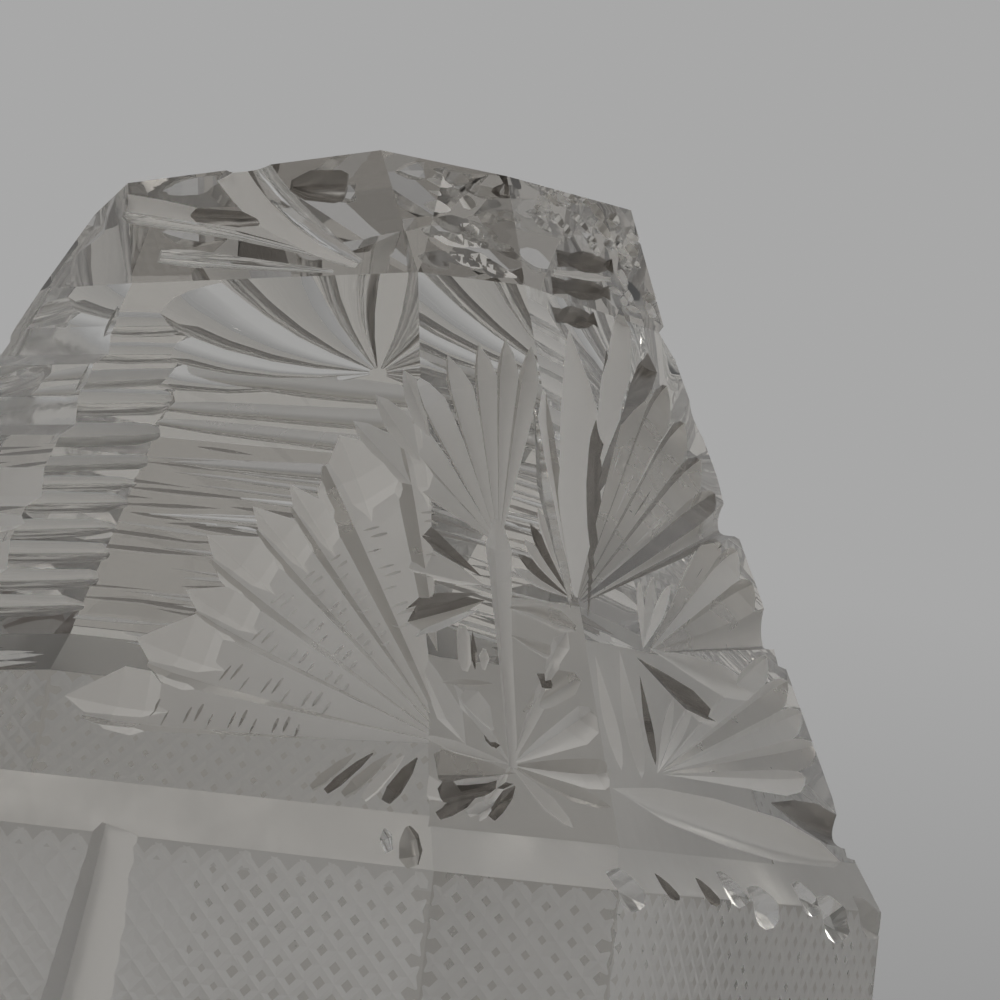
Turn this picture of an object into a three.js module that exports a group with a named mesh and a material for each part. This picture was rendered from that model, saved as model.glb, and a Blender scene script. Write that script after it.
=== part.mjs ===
// Square cut glass decanter: a thick-walled bottle and its ground-in stopper.
// Millimetres, +Z up. Origin at the centre of the flat base.
// Four wide flats face +X, +Y, -X and -Y, and four narrower flats cut the corners.
import * as THREE from 'three';

// ---- driving dimensions ----
const STEPS = 6;                 // subdivisions of each of the eight flats

// bottle, outside
const FOOT_HALF = 42.0;          // half width of the flat that rests on the table
const BODY_HALF = 45.0;          // half width of the body across its wide flats
const BODY_FLAT = 66.0;          // width of a wide flat
const FOOT_TOP = 5.0;            // height where the foot bevel ends
const BODY_TOP = 150.0;          // height where the straight body ends
const BEVEL_TOP = 153.5;         // top of the bevel over the body
const BEVEL_HALF = 42.0;
const NECK_BASE = 176.0;         // shoulder runs up to here
const NECK_HALF = 17.5;          // half width of the eight-sided neck
const NECK_TOP = 206.0;
const LIP_RADIUS = 23.0;
const LIP_TOP = 214.0;

// bottle, inside
const FLOOR = 16.0;              // thickness of the base
const INSIDE_HALF = 36.0;        // 9 mm walls
const INSIDE_FLAT = 52.0;
const INSIDE_TOP = 147.0;
const BORE_RADIUS = 11.0;
const BORE_BOTTOM = 172.0;

// ground joint
const SEAT_BOTTOM = 184.0;       // the ground taper runs from here to the lip
const SEAT_LOW_RADIUS = 11.2;
const SEAT_TOP_RADIUS = 13.3;
const GROUND_GAP = 0.3;          // modelled clearance between plug and seat

// stopper
const PLUG_BOTTOM = 186.0;
const COLLAR_BOTTOM = 215.4;
const COLLAR_TOP = 218.8;
const COLLAR_HALF = 15.5;
const GIRDLE_BOTTOM = 226.0;     // hatched band, widest part of the head
const GIRDLE_TOP = 238.9;
const GIRDLE_HALF = 27.2;
const GIRDLE_FLAT = 40.6;
const RIDGE = 241.5;             // edge between the band's bevel and the tapered head
const RIDGE_HALF = 25.7;
const RIDGE_FLAT = 38.0;
const CROWN = 268.9;            // edge where the head's flats break to the crown
const CROWN_HALF = 14.0;
const CROWN_FLAT = 18.2;
const TABLE = 275.2;
const TABLE_HALF = 12.8;
const TABLE_FLAT = 15.0;
const PEAK = 276.4;

// ---- sections: closed rings of points at one height ----
// A square section of half width s whose corners are cut to leave flats w wide.
function squareRing(z, s, w) {
  const h = w / 2;
  const corners = [];
  for (let q = 0; q < 4; q++) {
    const a = (q * Math.PI) / 2;
    const c = Math.cos(a), n = Math.sin(a);
    corners.push([s * c + h * n, s * n - h * c], [s * c - h * n, s * n + h * c]);
  }
  const ring = [];
  for (let j = 0; j < 8; j++) {
    const [ax, ay] = corners[j];
    const [bx, by] = corners[(j + 1) % 8];
    for (let i = 0; i < STEPS; i++) {
      const t = i / STEPS;
      ring.push(new THREE.Vector3(ax + (bx - ax) * t, ay + (by - ay) * t, z));
    }
  }
  return ring;
}

// A regular eight-sided section.
const octagonRing = (z, s) => squareRing(z, s, 2 * s * Math.tan(Math.PI / 8));

// A round section, with its points at the same bearings as a square one's.
function roundRing(z, r) {
  const ring = [];
  const n = 8 * STEPS;
  for (let i = 0; i < n; i++) {
    const a = -Math.PI / 8 + (2 * Math.PI * i) / n;
    ring.push(new THREE.Vector3(r * Math.cos(a), r * Math.sin(a), z));
  }
  return ring;
}

// A closed solid that starts in a point, runs through the rings and ends in a point.
function loft(start, rings, end) {
  const n = 8 * STEPS;
  const positions = [];
  const put = (v) => positions.push(v.x, v.y, v.z);
  put(start);
  for (const ring of rings) ring.forEach(put);
  put(end);
  const index = [];
  const at = (k, i) => 1 + k * n + ((i + n) % n);
  const last = 1 + rings.length * n;
  for (let i = 0; i < n; i++) {
    index.push(0, at(0, i + 1), at(0, i));
    for (let k = 0; k + 1 < rings.length; k++) {
      index.push(at(k, i), at(k, i + 1), at(k + 1, i + 1));
      index.push(at(k, i), at(k + 1, i + 1), at(k + 1, i));
    }
    index.push(last, at(rings.length - 1, i), at(rings.length - 1, i + 1));
  }
  const geometry = new THREE.BufferGeometry();
  geometry.setAttribute('position', new THREE.Float32BufferAttribute(positions, 3));
  geometry.setIndex(index);
  geometry.computeVertexNormals();
  return geometry;
}

const onAxis = (z) => new THREE.Vector3(0, 0, z);

// ---- bottle: up the outside, over the lip and down the inside ----
const bottleRings = [
  squareRing(0, FOOT_HALF, 61.0),
  squareRing(FOOT_TOP, BODY_HALF, BODY_FLAT),
  squareRing(BODY_TOP, BODY_HALF, BODY_FLAT),
  squareRing(BEVEL_TOP, BEVEL_HALF, 61.0),
  squareRing(164.0, 30.5, 38.0),
  octagonRing(171.5, 21.5),
  octagonRing(NECK_BASE, NECK_HALF + 0.8),
  octagonRing(NECK_BASE + 4, NECK_HALF),
  octagonRing(NECK_TOP - 4, NECK_HALF),
  roundRing(NECK_TOP, LIP_RADIUS - 2.5),
  roundRing(NECK_TOP + 2, LIP_RADIUS),
  roundRing(LIP_TOP - 2, LIP_RADIUS),
  roundRing(LIP_TOP - 0.6, LIP_RADIUS - 0.6),
  roundRing(LIP_TOP, LIP_RADIUS - 2),
  roundRing(LIP_TOP, SEAT_TOP_RADIUS + 0.5),
  roundRing(LIP_TOP - 0.5, SEAT_TOP_RADIUS),
  roundRing(SEAT_BOTTOM, SEAT_LOW_RADIUS),
  roundRing(SEAT_BOTTOM - 1, BORE_RADIUS),
  roundRing(BORE_BOTTOM, BORE_RADIUS),
  roundRing(BORE_BOTTOM - 5, 13.5),
  squareRing(158.0, 23.5, 24.0),
  squareRing(INSIDE_TOP, INSIDE_HALF - 1, INSIDE_FLAT - 4),
  squareRing(INSIDE_TOP - 5, INSIDE_HALF, INSIDE_FLAT),
  squareRing(FLOOR + 6, INSIDE_HALF, INSIDE_FLAT),
  squareRing(FLOOR + 1.5, INSIDE_HALF - 2, INSIDE_FLAT - 5),
  squareRing(FLOOR, INSIDE_HALF - 6, INSIDE_FLAT - 12),
];
const bottleGeometry = loft(onAxis(0), bottleRings, onAxis(FLOOR));

// ---- stopper: ground plug, collar, hatched band, tapered head and low crown ----
// The plug follows the seat's taper, held off it by the clearance.
const seatRadius = (z) => {
  const t = (z - SEAT_BOTTOM) / (LIP_TOP - 0.5 - SEAT_BOTTOM);
  return SEAT_LOW_RADIUS + t * (SEAT_TOP_RADIUS - SEAT_LOW_RADIUS);
};
const plugRadius = (z) => seatRadius(z) - GROUND_GAP;
const stopperRings = [
  roundRing(PLUG_BOTTOM, plugRadius(PLUG_BOTTOM) - 1.2),
  roundRing(PLUG_BOTTOM + 1.2, plugRadius(PLUG_BOTTOM + 1.2)),
  roundRing(LIP_TOP - 0.6, plugRadius(LIP_TOP - 0.6)),
  roundRing(COLLAR_BOTTOM, plugRadius(LIP_TOP - 0.6)),
  octagonRing(COLLAR_BOTTOM + 0.4, COLLAR_HALF),
  octagonRing(COLLAR_TOP, COLLAR_HALF),
  squareRing(222.0, 20.5, 24.0),
  squareRing(GIRDLE_BOTTOM, GIRDLE_HALF - 0.9, GIRDLE_FLAT - 2.0),
  squareRing(GIRDLE_BOTTOM + 0.9, GIRDLE_HALF, GIRDLE_FLAT),
  squareRing(GIRDLE_TOP, GIRDLE_HALF, GIRDLE_FLAT),
  squareRing(RIDGE, RIDGE_HALF, RIDGE_FLAT),
  squareRing(CROWN, CROWN_HALF, CROWN_FLAT),
  squareRing(TABLE, TABLE_HALF, TABLE_FLAT),
];
const stopperGeometry = loft(onAxis(PLUG_BOTTOM), stopperRings, onAxis(PEAK));

// ---- scene graph ----
const crystal = (name) =>
  new THREE.MeshStandardMaterial({ name, color: 0xdfe2e2, roughness: 0.03, metalness: 0.0, transparent: true, opacity: 0.4 });

const decanter = new THREE.Group();
decanter.name = 'cut_glass_decanter';

const bottle = new THREE.Mesh(bottleGeometry, crystal('crystal_bottle'));
bottle.name = 'bottle';
decanter.add(bottle);

const stopper = new THREE.Mesh(stopperGeometry, crystal('crystal_stopper'));
stopper.name = 'stopper';
decanter.add(stopper);

export default decanter;
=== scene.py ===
import math
import random

import bmesh
import bpy
from mathutils import Matrix, Vector


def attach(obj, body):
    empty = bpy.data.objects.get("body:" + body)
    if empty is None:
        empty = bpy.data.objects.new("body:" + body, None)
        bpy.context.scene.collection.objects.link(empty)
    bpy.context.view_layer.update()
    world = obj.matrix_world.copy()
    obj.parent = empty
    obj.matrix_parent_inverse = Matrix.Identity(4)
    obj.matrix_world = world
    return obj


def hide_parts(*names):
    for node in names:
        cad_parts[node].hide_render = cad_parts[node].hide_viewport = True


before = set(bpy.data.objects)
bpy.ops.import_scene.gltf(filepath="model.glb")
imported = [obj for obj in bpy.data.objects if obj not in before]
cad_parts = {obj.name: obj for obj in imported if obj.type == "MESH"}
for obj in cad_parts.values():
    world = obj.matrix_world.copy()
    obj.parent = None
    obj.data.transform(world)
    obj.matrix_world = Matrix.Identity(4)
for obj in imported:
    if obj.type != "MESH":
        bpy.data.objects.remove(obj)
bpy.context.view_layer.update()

# Cut glass decanter: bottle and stopper carved from polished blanks.
# Sizes here are in millimetres; a finished mesh is turned into metres at the end.
MM = 0.001
SQ = math.sqrt(2.0)

# head of the stopper: height and half width of its ridge, half width of its flats where they
# meet the crown, and how far up that is
RIDGE_Z, RIDGE_HALF = 241.5, 25.7
CROWN_HALF, CROWN_UP = 14.0, 27.4


# ---------------------------------------------------------------- solids
def ring_of(s, w, z):
    """Eight corners of a square section of half width s with flats w wide."""
    h = w / 2
    out = []
    for q in range(4):
        a = q * math.pi / 2
        c, n = math.cos(a), math.sin(a)
        out += [Vector((s * c + h * n, s * n - h * c, z)), Vector((s * c - h * n, s * n + h * c, z))]
    return out


def round_ring(r, z, n=8, turn=-math.pi / 8):
    return [Vector((r * math.cos(turn + 2 * math.pi * i / n), r * math.sin(turn + 2 * math.pi * i / n), z)) for i in range(n)]


def octagon(s, z):
    return ring_of(s, 2 * s * math.tan(math.pi / 8), z)


def stack(rings, mats=None):
    """Vertices, faces and slots of a closed solid through rings of equal length."""
    n = len(rings[0])
    verts = [v for r in rings for v in r]
    faces, slots = [tuple(range(n))[::-1]], [mats[0] if mats else 0]
    for k in range(len(rings) - 1):
        for i in range(n):
            j = (i + 1) % n
            faces.append((k * n + i, k * n + j, (k + 1) * n + j, (k + 1) * n + i))
            slots.append(mats[k] if mats else 0)
    last = (len(rings) - 1) * n
    faces.append(tuple(last + i for i in range(n)))
    slots.append(mats[-1] if mats else 0)
    return verts, faces, slots


def mesh_object(name, verts, faces, slots=None, slot=0):
    me = bpy.data.meshes.new(name)
    me.from_pydata([tuple(v) for v in verts], [], faces)
    bm = bmesh.new()
    bm.from_mesh(me)
    bmesh.ops.recalc_face_normals(bm, faces=bm.faces)
    if bm.calc_volume() < 0:
        bmesh.ops.reverse_faces(bm, faces=bm.faces)
    bm.to_mesh(me)
    bm.free()
    for m in MATERIALS:
        me.materials.append(m)
    me.polygons.foreach_set("material_index", slots if slots else [slot] * len(me.polygons))
    me.polygons.foreach_set("use_smooth", [False] * len(me.polygons))
    ob = bpy.data.objects.new(name, me)
    bpy.context.scene.collection.objects.link(ob)
    return ob


def carve(base, cutters, union=()):
    """Joins the union solids to base and cuts the cutters out of it, all at once."""
    groups = []
    for what, members in (("UNION", union), ("DIFFERENCE", cutters)):
        if not members:
            continue
        col = bpy.data.collections.new("carve")
        bpy.context.scene.collection.children.link(col)
        for ob in members:
            bpy.context.scene.collection.objects.unlink(ob)
            col.objects.link(ob)
        m = base.modifiers.new("carve", "BOOLEAN")
        m.operation, m.operand_type, m.collection, m.solver = what, "COLLECTION", col, "MANIFOLD"
        groups.append((col, members))
    deps = bpy.context.evaluated_depsgraph_get()
    me = bpy.data.meshes.new_from_object(base.evaluated_get(deps))
    base.modifiers.clear()
    old = base.data
    base.data = me
    bpy.data.meshes.remove(old)
    for col, members in groups:
        for ob in members:
            data = ob.data
            bpy.data.objects.remove(ob)
            bpy.data.meshes.remove(data)
        bpy.data.collections.remove(col)
    return base


# ---------------------------------------------------------------- cuts
class Flat:
    """A flat of the blank: origin o, outward normal n, u across it and v up it."""

    def __init__(self, o, n, u):
        self.o, self.n, self.u = Vector(o), Vector(n).normalized(), Vector(u).normalized()
        self.v = self.n.cross(self.u)
        if self.v.z < -1e-9:
            self.v = -self.v

    def at(self, a, b, h=0.0):
        return self.o + self.u * a + self.v * b + self.n * h

    def turned(self, quarter):
        c, s = round(math.cos(quarter * math.pi / 2)), round(math.sin(quarter * math.pi / 2))

        def r(p):
            return Vector((c * p.x - s * p.y, s * p.x + c * p.y, p.z))

        f = Flat(r(self.o), r(self.n), r(self.u))
        f.v = r(self.v)
        return f


def groove_parts(flat, stations, k, over=0.05, side=0.0):
    """A V-cut along stations (a, b, depth). k is half its width over its depth.
    side leans the V: its bottom moves that share of its half width to one side."""
    p0, p1 = Vector(stations[0][:2]), Vector(stations[-1][:2])
    t = (p1 - p0).normalized()
    s = Vector((-t.y, t.x))
    verts, faces = [], []
    for a, b, d in stations:
        w = (d + over) * k
        verts.append(flat.at(a + s.x * w, b + s.y * w, over))
        verts.append(flat.at(a - s.x * w, b - s.y * w, over))
        off = d * k * side
        verts.append(flat.at(a + s.x * off, b + s.y * off, -d))
    n = len(stations)
    for i in range(n - 1):
        for j in range(3):
            m = (j + 1) % 3
            faces.append((3 * i + j, 3 * i + m, 3 * i + 3 + m, 3 * i + 3 + j))
    faces.append((2, 1, 0))
    faces.append((3 * n - 3, 3 * n - 2, 3 * n - 1))
    return verts, faces


def groove(flat, stations, k=1.0, over=0.05, side=0.0, slot=0):
    v, f = groove_parts(flat, stations, k, over, side)
    return mesh_object("cut", v, f, slot=slot)


def many(parts, slot=0):
    """One cutter made of cuts that don't touch one another."""
    verts, faces = [], []
    for v, f in parts:
        base = len(verts)
        verts += v
        faces += [tuple(base + i for i in x) for x in f]
    return mesh_object("cuts", verts, faces, slot=slot)


def leaf(flat, p, q, wide, k=1.3, peak=0.6, foot=0.04, slot=0, over=0.05, end=0.0):
    """A cut shaped like a leaf from p to q, wide across at its widest, where peak says."""
    p, q = Vector(p), Vector(q)
    d = wide / 2 / k
    shape = [(0.0, foot), (peak * 0.5, 0.62), (peak * 0.8, 0.92), (peak, 1.0), (peak + (1 - peak) * 0.45, 0.86), (peak + (1 - peak) * 0.8, 0.45), (1.0, end)]
    return groove(flat, [((p + (q - p) * t).x, (p + (q - p) * t).y, d * e) for t, e in shape], k, over=over, slot=slot)


def through(flat, p, q, wide, k=1.0, slot=0, over=0.05):
    """A straight V-cut of even depth that runs past both ends."""
    d = wide / 2 / k
    return groove(flat, [(p[0], p[1], d), (q[0], q[1], d)], k, over=over, slot=slot)


def fan(flat, apex, first, last, count, radius, tips=None, k=4.0, start=0.05, nicks=None, ribs=0.0, slot=0, rib_slot=0):
    """Flutes side by side from an apex, from angle first to last in degrees.
    tips are the flutes' lengths over the radius. nicks is (from, to, pitch, depth)."""
    out = []
    ax, ay = apex
    step = (last - first) / count
    half = math.tan(math.radians(abs(step) / 2))
    for i in range(count):
        a = math.radians(first + step * (i + 0.5))
        c, s = math.cos(a), math.sin(a)
        size = radius * (tips[i % len(tips)] if tips else 1.0)
        st = []
        for t, e in ((start, start), (0.3, 0.3), (0.6, 0.6), (0.8, 0.8), (0.9, 0.62), (0.96, 0.34), (1.0, 0.0)):
            w = size * e * half * 1.04
            st.append((ax + c * size * t, ay + s * size * t, w / k))
        out.append(groove(flat, st, k, over=0.03, slot=slot))
        if nicks:
            lo, hi, pitch, depth = nicks
            parts = []
            r = lo * size
            while r < hi * size:
                w = r * half * 0.8
                mx, my = ax + c * r, ay + s * r
                d = depth * (0.4 + 0.6 * r / size) + r * half / k * 0.5
                parts.append(groove_parts(flat, [(mx - s * w, my + c * w, d * 0.5), (mx - s * w * 0.4, my + c * w * 0.4, d), (mx + s * w * 0.4, my - c * w * 0.4, d), (mx + s * w, my - c * w, d * 0.5)], 0.62, over=0.03))
                r += pitch
            out.append(many(parts, slot=slot))
    if ribs:
        for i in range(count + 1):
            a = math.radians(first + step * i)
            c, s = math.cos(a), math.sin(a)
            size = radius * (tips[min(i, count - 1) % len(tips)] if tips else 1.0) * 0.93
            st = [(ax + c * size * t, ay + s * size * t, ribs * e) for t, e in ((start, 0.15), (0.3, 0.55), (0.7, 1.0), (0.92, 0.8), (1.0, 0.0))]
            out.append(groove(flat, st, 0.9, over=0.03, slot=rib_slot))
    return out


def hatch(flat, inside, pitch, depth, k, angles, slot=0, over=0.03, jitter=0.0):
    """Sets of parallel V-cuts at the given angles, clipped to the convex outline inside.
    jitter is the share by which their depth varies."""
    out = []
    dice = random.Random(11)
    full = depth
    for angle in angles:
        a = math.radians(angle)
        d, s = Vector((math.cos(a), math.sin(a))), Vector((-math.sin(a), math.cos(a)))
        parts = []
        low = min(s.dot(Vector(p)) for p in inside)
        high = max(s.dot(Vector(p)) for p in inside)
        x = low + pitch / 2
        while x < high:
            lo, hi = -1e9, 1e9
            for i in range(len(inside)):
                p, q = Vector(inside[i]), Vector(inside[(i + 1) % len(inside)])
                e = q - p
                nrm = Vector((-e.y, e.x))
                den, num = nrm.dot(d), nrm.dot(p - s * x)
                if abs(den) < 1e-9:
                    if num > 0:
                        lo, hi = 1, 0
                    continue
                t = num / den
                if den > 0:
                    lo = max(lo, t)
                else:
                    hi = min(hi, t)
            depth = full * (1 + jitter * (dice.random() - 0.5))
            if hi - lo > pitch * 0.3:
                p, q = s * x + d * lo, s * x + d * hi
                m = min(0.25, pitch / (hi - lo) * 0.5)
                parts.append(groove_parts(flat, [(p.x, p.y, depth * 0.15), ((p + (q - p) * m).x, (p + (q - p) * m).y, depth), ((p + (q - p) * (1 - m)).x, (p + (q - p) * (1 - m)).y, depth), (q.x, q.y, depth * 0.15)], k, over=over))
            x += pitch
        if parts:
            out.append(many(parts, slot=slot))
    return out


def blade(flat, p, q, rows, slot=0, over=0.05, left=None, right=None):
    """A broad V-cut from p to q. Each row is (how far along, width to the left of its
    bottom line, width to the right, depth). left and right are its sides' own slots."""
    p, q = Vector(p), Vector(q)
    t = (q - p).normalized()
    s = Vector((-t.y, t.x))
    verts, faces = [], []
    for along, wl, wr, d in rows:
        m = p + (q - p) * along
        d = max(d, 0.01)
        grow = (d + over) / d if d > 0.05 else 2.0
        a, b = m + s * wl * grow, m - s * wr * grow
        verts += [flat.at(a.x, a.y, over), flat.at(b.x, b.y, over), flat.at(m.x, m.y, -d)]
    n = len(rows)
    slots = []
    for i in range(n - 1):
        for j in range(3):
            k = (j + 1) % 3
            faces.append((3 * i + j, 3 * i + k, 3 * i + 3 + k, 3 * i + 3 + j))
            slots.append((slot, slot if right is None else right, slot if left is None else left)[j])
    faces += [(2, 1, 0), (3 * n - 3, 3 * n - 2, 3 * n - 1)]
    return mesh_object("blade", verts, faces, slots + [slot, slot])


def scoop(flat, p, q, rows, slot=0, over=0.05, left=None, right=None, steps=5):
    """A hollow cut with a round bottom from p to q, with rows as for blade. A fifth value in a
    row moves the cut sideways there, so that it curves."""
    p, q = Vector(p), Vector(q)
    t = (q - p).normalized()
    s = Vector((-t.y, t.x))
    verts, faces, slots, round_ = [], [], [], []
    n = 2 * steps + 3
    for along, wl, wr, d, *bend in rows:
        m = p + (q - p) * along + s * sum(bend)
        d, wl, wr = max(d, 0.01), max(wl, 0.02), max(wr, 0.02)
        line = [(wl * (1 + over / d / 2), over)]
        for i in range(-steps, steps + 1):
            x = -i / steps
            line.append((x * (wl if x > 0 else wr), -d * (1 - x * x)))
        line.append((-wr * (1 + over / d / 2), over))
        for x, h in line:
            c = m + s * x
            verts.append(flat.at(c.x, c.y, h))
    for i in range(len(rows) - 1):
        for j in range(n):
            k = (j + 1) % n
            faces.append((n * i + j, n * i + k, n * i + n + k, n * i + n + j))
            side = left if j <= steps else right
            slots.append(slot if side is None else side)
            round_.append(0 < j < n - 2)
    faces += [tuple(range(n))[::-1], tuple(n * (len(rows) - 1) + j for j in range(n))]
    ob = mesh_object("scoop", verts, faces, slots + [slot, slot])
    ob.data.polygons.foreach_set("use_smooth", round_ + [False, False])
    return ob


def pad(flat, u0, v0, u1, v1, d, slot=0, over=0.4):
    """A whole patch of a flat taken down by d, to give it another finish."""
    verts = [flat.at(u, v, h) for h in (-d, over) for u, v in ((u0, v0), (u1, v0), (u1, v1), (u0, v1))]
    return mesh_object("pad", verts, [(3, 2, 1, 0), (4, 5, 6, 7), (0, 1, 5, 4), (1, 2, 6, 5), (2, 3, 7, 6), (3, 0, 4, 7)], None, slot)


def shelf(flat, b, rise, ledge, depth, half, slot=0, over=0.4, middle=0.0):
    """A step cut straight across: it slopes in for rise above b and comes out over ledge."""
    g = over / depth
    prof = [(b + rise + rise * g, over), (b, -depth), (b - ledge - ledge * g, over)]
    verts = []
    for a in (middle - half, middle + half):
        verts += [flat.at(a, v, h) for v, h in prof]
    faces = [(0, 1, 4, 3), (1, 2, 5, 4), (2, 0, 3, 5), (2, 1, 0), (3, 4, 5)]
    return mesh_object("shelf", verts, faces, slot=slot)


# ---------------------------------------------------------------- materials
def crystal(name, rough, rough_more, bump, bump_scale, clear=1.0, tint=(0.985, 0.99, 0.988)):
    """Clear lead crystal. Its roughness and the ripple of its polish come from noise."""
    m = bpy.data.materials.new(name)
    m.use_nodes = True
    nt = m.node_tree
    bsdf = nt.nodes["Principled BSDF"]
    bsdf.inputs["Base Color"].default_value = (*tint, 1)
    bsdf.inputs["Transmission Weight"].default_value = clear
    bsdf.inputs["IOR"].default_value = 1.56
    bsdf.inputs["Roughness"].default_value = rough
    coord = nt.nodes.new("ShaderNodeTexCoord")
    if rough_more:
        noise = nt.nodes.new("ShaderNodeTexNoise")
        noise.inputs["Scale"].default_value = 260
        noise.inputs["Detail"].default_value = 4
        nt.links.new(coord.outputs["Object"], noise.inputs["Vector"])
        ramp = nt.nodes.new("ShaderNodeMapRange")
        ramp.inputs["From Min"].default_value = 0.35
        ramp.inputs["From Max"].default_value = 0.7
        ramp.inputs["To Min"].default_value = rough
        ramp.inputs["To Max"].default_value = rough + rough_more
        nt.links.new(noise.outputs["Fac"], ramp.inputs["Value"])
        nt.links.new(ramp.outputs["Result"], bsdf.inputs["Roughness"])
    if bump:
        wave = nt.nodes.new("ShaderNodeTexNoise")
        wave.inputs["Scale"].default_value = bump_scale
        wave.inputs["Detail"].default_value = 1.5
        nt.links.new(coord.outputs["Object"], wave.inputs["Vector"])
        b = nt.nodes.new("ShaderNodeBump")
        b.inputs["Strength"].default_value = 1.0
        b.inputs["Distance"].default_value = bump
        nt.links.new(wave.outputs["Fac"], b.inputs["Height"])
        nt.links.new(b.outputs["Normal"], bsdf.inputs["Normal"])
    return m


POLISHED, INSIDE, GROUND, CUT, SATIN, FROST, SHADE, DARK_SHADE, DIM, SATIN_SHADE = range(10)
MATERIALS = [
    crystal("crystal_polished", 0.0, 0.02, 0.00003, 90, tint=(0.94, 0.935, 0.92)),
    crystal("crystal_inside", 0.0, 0.02, 0.00006, 60),
    crystal("crystal_ground", 0.42, 0.12, 0.00002, 2600),
    crystal("crystal_cut", 0.06, 0.08, 0.00001, 900),
    crystal("crystal_satin", 0.34, 0.10, 0.00001, 900, clear=0.75, tint=(0.99, 0.985, 0.975)),
    crystal("crystal_frost", 0.5, 0.12, 0.00001, 900, clear=0.35, tint=(0.99, 0.985, 0.975)),
    # painted shade: crystal tinted brownish grey, for facets the glass would show mid-dark
    crystal("crystal_shade", 0.26, 0.08, 0.00001, 900, clear=0.85, tint=(0.7, 0.675, 0.635)),
    # painted shade: crystal tinted near black, for facets the glass would show dark
    crystal("crystal_dark_shade", 0.18, 0.06, 0.00001, 900, clear=0.95, tint=(0.13, 0.115, 0.1)),
    # painted shade: polished crystal tinted grey, to darken the crown, the table and patches of the back flat
    crystal("crystal_dim", 0.0, 0.03, 0.00004, 120, tint=(0.56, 0.54, 0.515)),
    # satin finish whose grey tint is painted shade
    crystal("crystal_satin_shade", 0.3, 0.12, 0.00005, 520, clear=0.75, tint=(0.78, 0.77, 0.75)),
]

# ---------------------------------------------------------------- stopper
# corners of the hand-cut head, above the ridge, from the near corner's right side
# counter-clockwise: at the ridge, at the crown's edge and round the table
RIDGE = [(25.7, -17.31, 0.0), (25.7, 19.41, 0.0), (19.41, 25.7, 0.0), (-18.99, 25.7, 0.0), (-25.7, 18.99, 0.0), (-25.7, -16.96, 0.0), (-10.27, -25.7, 0.0), (19.15, -25.7, 0.0)]
EDGE = [(13.61, -8.54, 28.32), (13.49, 12.45, 28.6), (12.47, 13.51, 28.54), (-9.29, 14.21, 26.9), (-14.41, 9.45, 26.44), (-14.46, -9.98, 26.32), (-6.53, -14.41, 26.43), (9.75, -13.74, 28.02)]
TABLE = [(12.59, -10.13, 33.82), (12.32, 8.1, 34.98), (8.6, 12.2, 34.18), (-8.4, 12.9, 31.06), (-13.1, 8.2, 30.35), (-12.95, -7.7, 30.87), (-8.07, -13.29, 31.94), (6.23, -12.44, 34.52)]


def lifted(ring):
    return [Vector((x, y, RIDGE_Z + z)) for x, y, z in ring]


def flat_of(a, b, c):
    """Working frame of the plane through a, b and c: u along a to b, its origin between
    them."""
    n = (b - a).cross(c - a).normalized()
    mid = (a + b) / 2
    if n.dot(Vector((mid.x, mid.y, 0))) < 0:
        n = -n
    u = (b - a).normalized()
    fl = Flat(mid, n, u)
    if fl.u.dot(Vector((-n.y, n.x, 0))) < 0:
        fl.u = -fl.u
    return fl


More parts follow.
